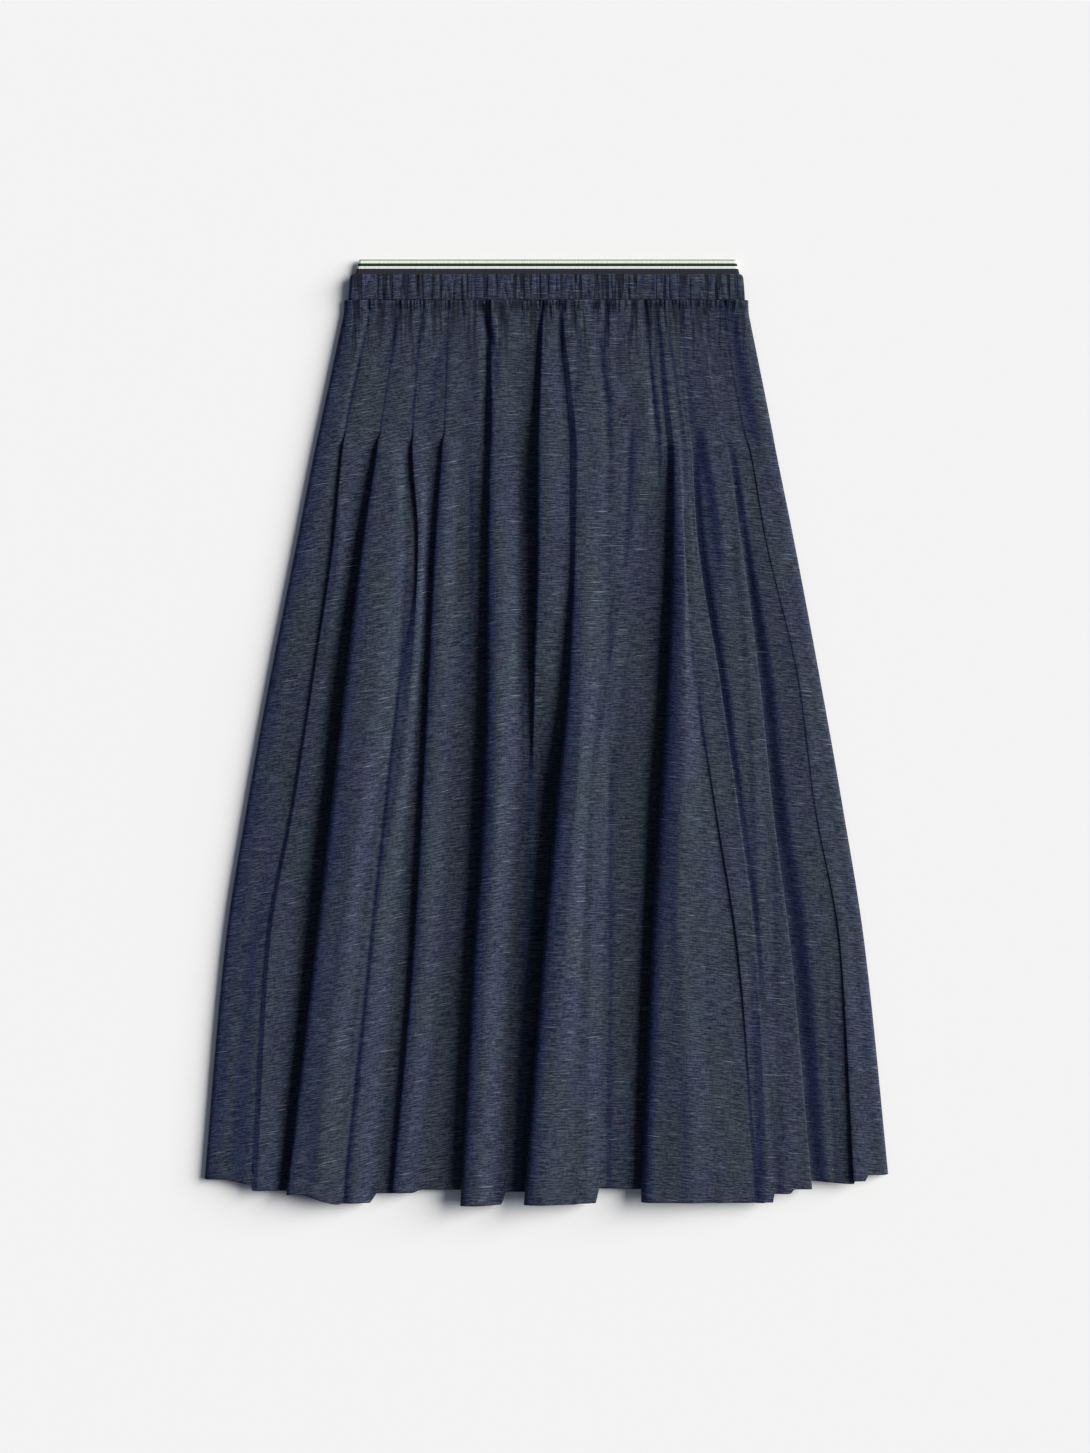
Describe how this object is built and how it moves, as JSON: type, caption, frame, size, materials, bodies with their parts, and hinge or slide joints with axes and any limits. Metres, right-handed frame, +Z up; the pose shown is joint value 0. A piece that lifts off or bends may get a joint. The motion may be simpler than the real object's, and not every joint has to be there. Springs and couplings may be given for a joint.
{
  "type": "pleated denim skirt",
  "caption": "A-line midi skirt laid flat on its back, with stitched-down side pleats, soft centre gathers and a striped elastic waist over a gathered casing.",
  "frame": {"origin": "bottom centre of the bounding box: on the surface that the skirt lies on, under its middle", "axes": "+X to the viewer's right, +Y up the garment towards the waist, +Z up off the surface, out of the skirt's front"},
  "size_m": [0.5791, 0.7992, 0.0251],
  "materials": {
    "denim": "dark indigo slub chambray denim, matte, with pale horizontal slubs",
    "elastic": "woven elastic with plain cream, green and navy stripes, matte"
  },
  "bodies": {
    "root": {"front_panel": "denim", "back_panel": "denim", "front_casing": "denim", "back_casing": "denim", "elastic_band": "elastic"}
  },
  "joints": []
}
